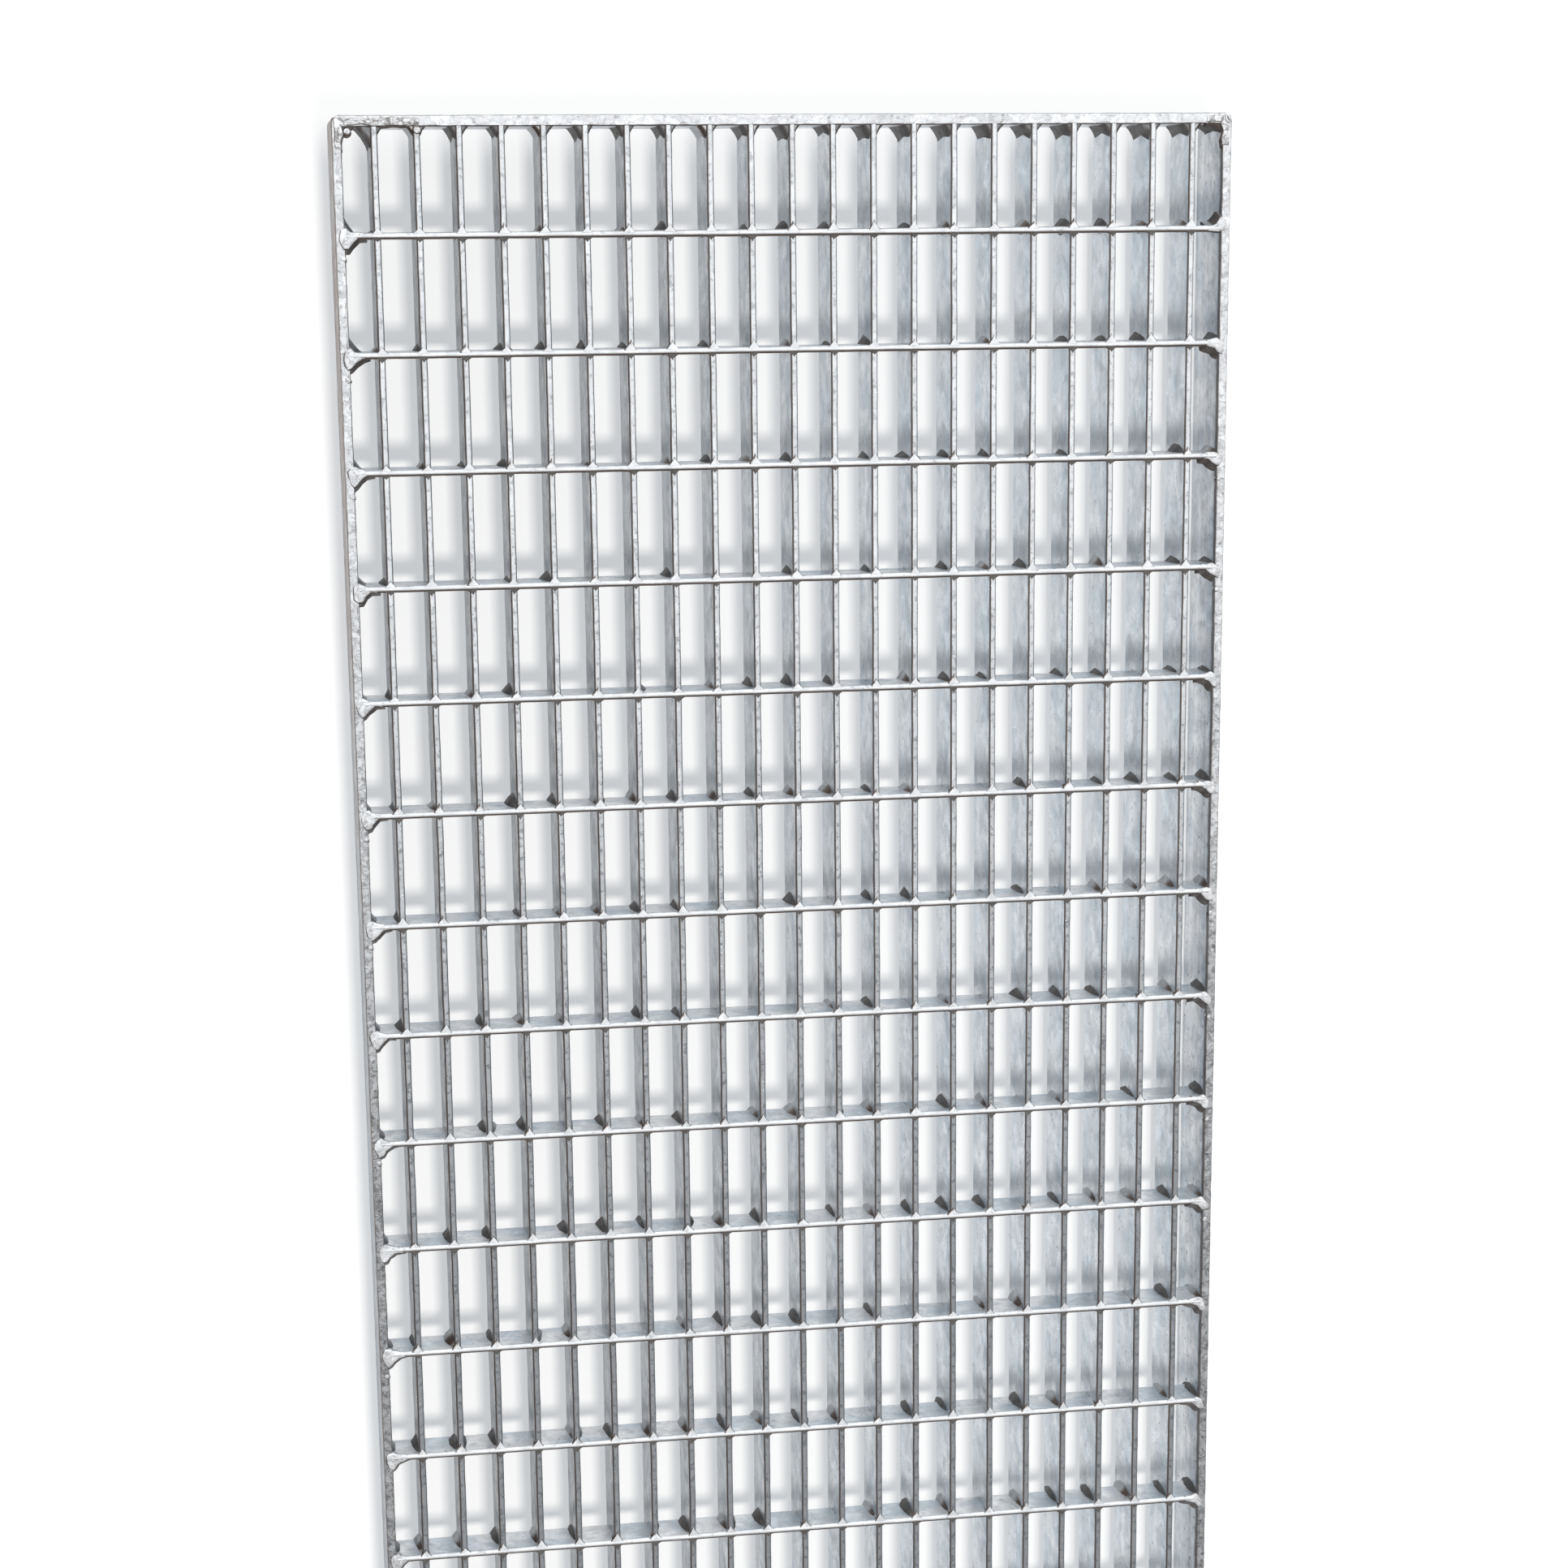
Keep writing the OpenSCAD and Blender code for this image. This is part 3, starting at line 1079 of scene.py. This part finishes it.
def pale_floor():
    """A floor that looks white but keeps the shadow."""
    material, tree = new_tree("pale floor")
    where = add(tree, "ShaderNodeTexCoord").outputs["Object"]
    reach = add(tree, "ShaderNodeVectorMath", operation="LENGTH")
    place = add(tree, "ShaderNodeSeparateXYZ")
    feed(tree, where, reach.inputs[0])
    feed(tree, where, place.inputs["Vector"])
    # from 0.4 m to 1.3 m all round, and sooner beyond the far end
    away = soft_step(tree, reach.outputs["Value"], 0.40, 1.30)
    # beyond the far end the glow also washes out the panel's shadow, as painted light
    beyond = soft_step(tree, place.outputs["Y"], edge_y - 15 * MM, edge_y + 2 * MM)
    away = maths(tree, "MAXIMUM", away, product(tree, beyond, 0.85))
    path = add(tree, "ShaderNodeLightPath").outputs
    seen = maths(tree, "MAXIMUM", path["Is Camera Ray"], path["Is Glossy Ray"])
    seen = maths(tree, "MAXIMUM", seen, path["Is Transmission Ray"])
    share = product(tree, seen, maths(tree, "MULTIPLY_ADD", away, 1 - GLOW, GLOW))
    paint = add(tree, "ShaderNodeBsdfDiffuse", {"Color": (0.82, 0.79, 0.76, 1)})
    glow = add(tree, "ShaderNodeEmission")
    # the glow is tinted blue near the panel, which paints the shadow there blue-grey
    feed(tree, mix_colour(tree, away, (0.93, 0.965, 1.0), (1, 1, 1)), glow.inputs["Color"])
    blend = add(tree, "ShaderNodeMixShader")
    out = add(tree, "ShaderNodeOutputMaterial")
    feed(tree, share, blend.inputs["Fac"])
    feed(tree, paint.outputs["BSDF"], blend.inputs[1])
    feed(tree, glow.outputs["Emission"], blend.inputs[2])
    feed(tree, blend.outputs["Shader"], out.inputs["Surface"])
    lay_out(tree, material.name)
    return material


# %% The floor itself
bm = bmesh.new()
bmesh.ops.create_grid(bm, x_segments=1, y_segments=1, size=FLOOR_SIZE)
mesh = bpy.data.meshes.new("floor")
bm.to_mesh(mesh)
bm.free()
mesh.materials.append(pale_floor())
floor = bpy.data.objects.new("floor", mesh)
floor.location.z = floor_z - FLOOR_GAP
bpy.context.scene.collection.objects.link(floor)
print("floor at", round(floor.location.z, 5))

# %% [markdown]
# ## The room
#
# Metal shows what is round it, so the room matters more than the lamps. One
# side of the sky is bright, up and beyond the panel, and the other is dark,
# so that the rounded edges have something to show. The camera itself sees
# plain white behind the floor.

# %% The sky of the room
BRIGHT_SIDE = Vector((-0.1, 0.8, 0.6)).normalized()
SKY = [(0.0, (0.17, 0.172, 0.18)), (0.52, (0.19, 0.195, 0.205)), (0.62, (0.36, 0.375, 0.39)),
       (0.70, (0.67, 0.70, 0.73)), (0.78, (0.94, 0.97, 1.0)), (1.0, (0.94, 0.97, 1.0))]


def soft_room():
    """A sky that is bright towards BRIGHT_SIDE and dark on the other side."""
    world = bpy.data.worlds.new("soft room")
    world.use_nodes = True
    tree = world.node_tree
    tree.nodes.clear()
    where = add(tree, "ShaderNodeTexCoord").outputs["Generated"]
    towards = add(tree, "ShaderNodeVectorMath", {1: BRIGHT_SIDE}, operation="DOT_PRODUCT")
    feed(tree, where, towards.inputs[0])
    spread = maths(tree, "MULTIPLY_ADD", towards.outputs["Value"], 0.5, 0.5)
    light = add(tree, "ShaderNodeBackground", {"Strength": 1.0})
    white = add(tree, "ShaderNodeBackground", {"Color": (1, 1, 1, 1)})
    feed(tree, ramp(tree, spread, SKY), light.inputs["Color"])
    path = add(tree, "ShaderNodeLightPath").outputs
    blend = add(tree, "ShaderNodeMixShader")
    out = add(tree, "ShaderNodeOutputWorld")
    feed(tree, path["Is Camera Ray"], blend.inputs["Fac"])
    feed(tree, light.outputs["Background"], blend.inputs[1])
    feed(tree, white.outputs["Background"], blend.inputs[2])
    feed(tree, blend.outputs["Shader"], out.inputs["Surface"])
    lay_out(tree, world.name)
    return world


bpy.context.scene.world = soft_room()

# %% [markdown]
# ## The lamps
#
# Two large soft lamps do the work of a studio. The top lamp stands high and
# a little near, so the mesh throws its shadow on the floor in soft bands.
# The fill lamp is low on the right and lights the sides of the bars. The
# metal shows the room only, so both are hidden from reflections.

# %% Two soft lamps
LAMP_COLOUR = (1.0, 0.985, 0.96)


def soft_box(name, place, width, height, power):
    """A rectangular area lamp at a place, turned towards the panel."""
    data = bpy.data.lights.new(name, "AREA")
    data.shape = "RECTANGLE"
    data.size, data.size_y = width, height
    data.energy = power
    data.color = LAMP_COLOUR
    lamp = bpy.data.objects.new(name, data)
    x, y, z = Vector(place)
    lamp.location = place
    lamp.rotation_euler = (math.atan2(-y, z), math.atan2(x, z), 0)
    lamp.visible_glossy = False
    bpy.context.scene.collection.objects.link(lamp)
    print(name, "at", place, "with", power, "W")


soft_box("top lamp", (0.14, -0.42, 2.2), width=0.30, height=0.34, power=48.0)
soft_box("fill lamp", (1.6, 0.2, 0.95), width=0.9, height=0.9, power=17.0)

# %% [markdown]
# ## The camera
#
# The eye is about a metre above the panel's far left corner and looks down,
# to the right and towards the near end, which runs out of the picture. A
# camera turned further would make the bars lean, so it is the lens that is
# shifted: a shift moves the picture and leaves the bars as they stand.

# %% The camera
eye = bpy.data.cameras.new("camera")
eye.sensor_width = 36.0
eye.lens = 75.93
eye.shift_y = 0.15
eye.clip_start = 0.01
eye.clip_end = 50.0
camera = bpy.data.objects.new("camera", eye)
camera.location = (-0.1782, 0.20893, 0.99485)
camera.rotation_euler = tuple(math.radians(angle) for angle in (-12.8245, -10.2497, -0.6088))
bpy.context.scene.collection.objects.link(camera)
bpy.context.scene.camera = camera
bpy.context.scene.view_settings.view_transform = "Standard"
print("lens", eye.lens, "mm at", tuple(camera.location))
